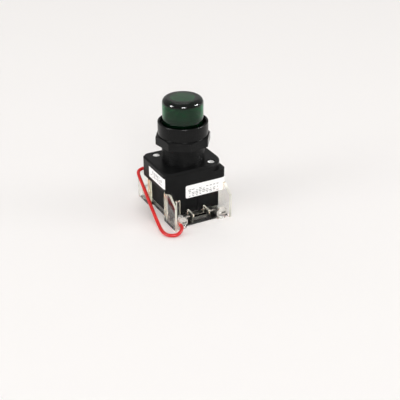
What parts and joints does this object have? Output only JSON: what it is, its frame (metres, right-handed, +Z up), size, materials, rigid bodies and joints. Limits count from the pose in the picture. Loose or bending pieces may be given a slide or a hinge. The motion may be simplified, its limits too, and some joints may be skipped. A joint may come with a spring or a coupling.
{
  "type": "panel pilot light",
  "caption": "Push-to-test panel pilot light: round green lens in an octagonal ring nut, flanged barrel, light unit and contact block in a clear terminal base.",
  "frame": {"origin": "on the table, under the lens axis, centre of the device's foot print", "axes": "+Z up along the lens axis, +X to the right along the front, the labelled front faces -Y"},
  "size_m": [0.0556, 0.0676, 0.0839],
  "materials": {
    "lens_green": "translucent green moulding, glossy",
    "black_gloss": "black moulding, semi-gloss",
    "black_matt": "black moulding, satin",
    "clear_plastic": "clear moulding with faintly yellow edges",
    "nickel": "nickel plate, worn bright",
    "screw_steel": "zinc plate",
    "brass": "drawn",
    "bulb_glass": "clear",
    "spring_steel": "drawn wire",
    "seal_rubber": "soft",
    "label_paper": "white paper, blank",
    "wire_red": "red insulation",
    "copper": "tinned strands",
    "fibre": "brown board",
    "ceramic": "cement coating"
  },
  "bodies": {
    "device": {"bezel_ring": "black_gloss", "operator_body": "black_gloss", "long_screws": "screw_steel", "wiper_seal": "seal_rubber", "return_spring": "spring_steel", "light_unit_housing": "black_matt", "light_unit_cover": "fibre", "lamp_resistor": "ceramic", "socket_insulator": "fibre", "lamp_socket": "brass", "centre_contact": "brass", "centre_spring": "spring_steel", "lamp_base": "brass", "lamp_bulb": "bulb_glass", "left_label": "label_paper", "front_label": "label_paper", "contact_block_body": "black_matt", "carriage_spring": "spring_steel", "clear_base": "clear_plastic", "terminal_screws": "nickel", "jumper_wire": "wire_red", "jumper_end": "copper", "terminal_strip_fl": "nickel", "clamp_plate_fl": "nickel", "terminal_strip_fr": "nickel", "clamp_plate_fr": "nickel", "terminal_strip_bl": "nickel", "clamp_plate_bl": "nickel", "terminal_strip_br": "nickel", "clamp_plate_br": "nickel"},
    "plunger": {"lens": "lens_green", "lens_carrier": "black_matt", "contact_carriage": "black_matt", "closed_bridge": "brass", "open_bridge": "brass", "closed_bridge_spring": "spring_steel", "open_bridge_spring": "spring_steel"}
  },
  "joints": [
    {"name": "lens_press", "type": "slide", "parent": "device", "child": "plunger", "axis": [0, 0, -1], "range_m": [0, 0.0045], "stiffness_N_per_m": 1000, "springref_m": -0.004, "deforming": ["return_spring", "carriage_spring"]}
  ]
}
